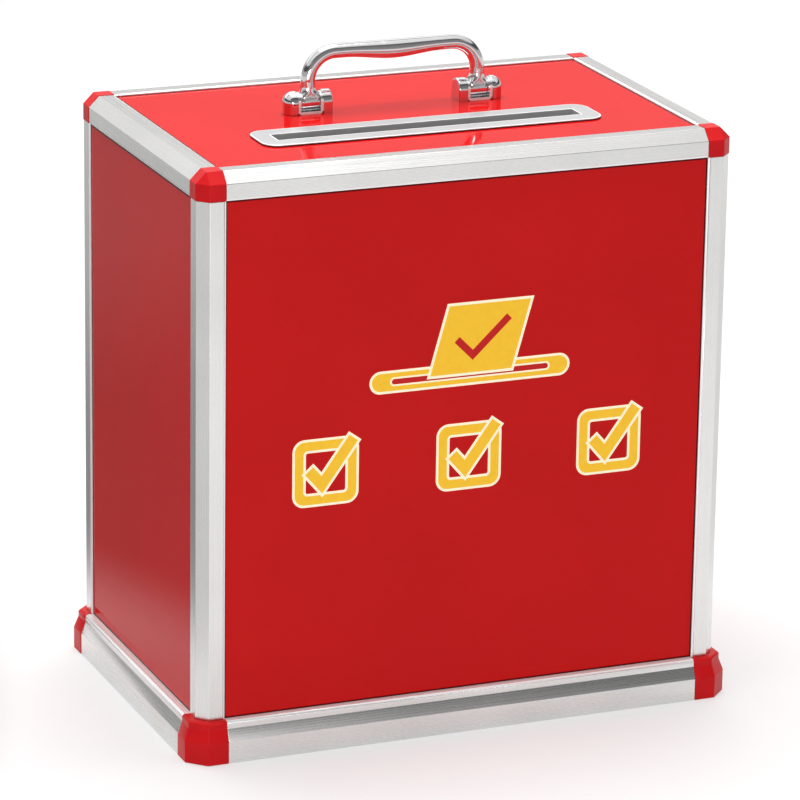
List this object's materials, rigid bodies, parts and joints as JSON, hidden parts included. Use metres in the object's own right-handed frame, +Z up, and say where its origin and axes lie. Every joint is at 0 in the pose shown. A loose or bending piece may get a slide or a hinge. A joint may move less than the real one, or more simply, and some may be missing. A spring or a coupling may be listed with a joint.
{
  "type": "ballot box",
  "caption": "Upright box with an aluminium corner frame, glossy boards, flared base, slotted lid with a folding bail handle, and a hinged locking rear door.",
  "frame": {"origin": "centre of the underside, on the surface that the box stands on", "axes": "+X to the right along the front, -Y out of the front, +Z up"},
  "size_m": [0.4176, 0.2716, 0.472],
  "materials": {
    "red_board": "gloss",
    "red_moulding": "gloss",
    "frame_aluminium": "fine satin anodised",
    "trim_aluminium": "satin",
    "silver_moulding": "satin",
    "black_moulding": "matte",
    "handle_chrome": "polished",
    "lock_chrome": "polished",
    "steel_fasteners": "zinc plated"
  },
  "bodies": {
    "frame": {"base_rail_back": "frame_aluminium", "base_rail_front": "frame_aluminium", "base_rail_left": "frame_aluminium", "base_rail_right": "frame_aluminium", "bottom_panel": "red_board", "corner_cap_back_left": "red_moulding", "corner_cap_back_right": "red_moulding", "corner_cap_front_left": "red_moulding", "corner_cap_front_right": "red_moulding", "corner_foot_back_left": "red_moulding", "corner_foot_back_right": "red_moulding", "corner_foot_front_left": "red_moulding", "corner_foot_front_right": "red_moulding", "door_stop_bottom": "trim_aluminium", "door_stop_lock_side": "trim_aluminium", "door_stop_screws": "steel_fasteners", "door_stop_top": "trim_aluminium", "front_panel": "red_board", "handle_bracket_left": "handle_chrome", "handle_bracket_right": "handle_chrome", "handle_dome_left": "handle_chrome", "handle_dome_right": "handle_chrome", "handle_friction_washers": "steel_fasteners", "handle_inner_caps": "handle_chrome", "handle_nuts": "steel_fasteners", "handle_pin_left": "handle_chrome", "handle_pin_right": "handle_chrome", "hinge_frame_screws": "steel_fasteners", "left_panel": "red_board", "lower_hinge_frame_leaf": "steel_fasteners", "lower_hinge_pin": "steel_fasteners", "post_back_left": "frame_aluminium", "post_back_right": "frame_aluminium", "post_front_left": "frame_aluminium", "post_front_right": "frame_aluminium", "right_panel": "red_board", "slot_bezel": "silver_moulding", "slot_clamp_frame": "black_moulding", "slot_clamp_screws": "steel_fasteners", "top_panel": "red_board", "top_rail_back": "frame_aluminium", "top_rail_front": "frame_aluminium", "top_rail_left": "frame_aluminium", "top_rail_right": "frame_aluminium", "upper_hinge_frame_leaf": "steel_fasteners", "upper_hinge_pin": "steel_fasteners"},
    "door": {"door_panel": "red_board", "door_trim_top": "trim_aluminium", "door_trim_bottom": "trim_aluminium", "door_trim_lock_side": "trim_aluminium", "door_trim_hinge_side": "trim_aluminium", "lower_hinge_door_leaf": "steel_fasteners", "upper_hinge_door_leaf": "steel_fasteners", "hinge_door_screws": "steel_fasteners", "lock_housing": "lock_chrome", "lock_nut": "steel_fasteners"},
    "lock": {"lock_barrel": "lock_chrome", "lock_cam": "steel_fasteners", "lock_cam_screw": "steel_fasteners"},
    "handle": {"handle_bail": "handle_chrome"}
  },
  "joints": [
    {"name": "door_hinge", "type": "hinge", "parent": "frame", "child": "door", "pos_m": [0.1801, 0.1298, 0.218], "axis": [0, 0, -1], "range_deg": [0, 170]},
    {"name": "lock_turn", "type": "hinge", "parent": "door", "child": "lock", "pos_m": [-0.1516, 0.1255, 0.218], "axis": [0, 1, 0], "range_deg": [0, 90]},
    {"name": "handle_fold", "type": "hinge", "parent": "frame", "child": "handle", "pos_m": [0, 0.021, 0.4317], "axis": [1, 0, 0], "range_deg": [-88, 88]}
  ]
}
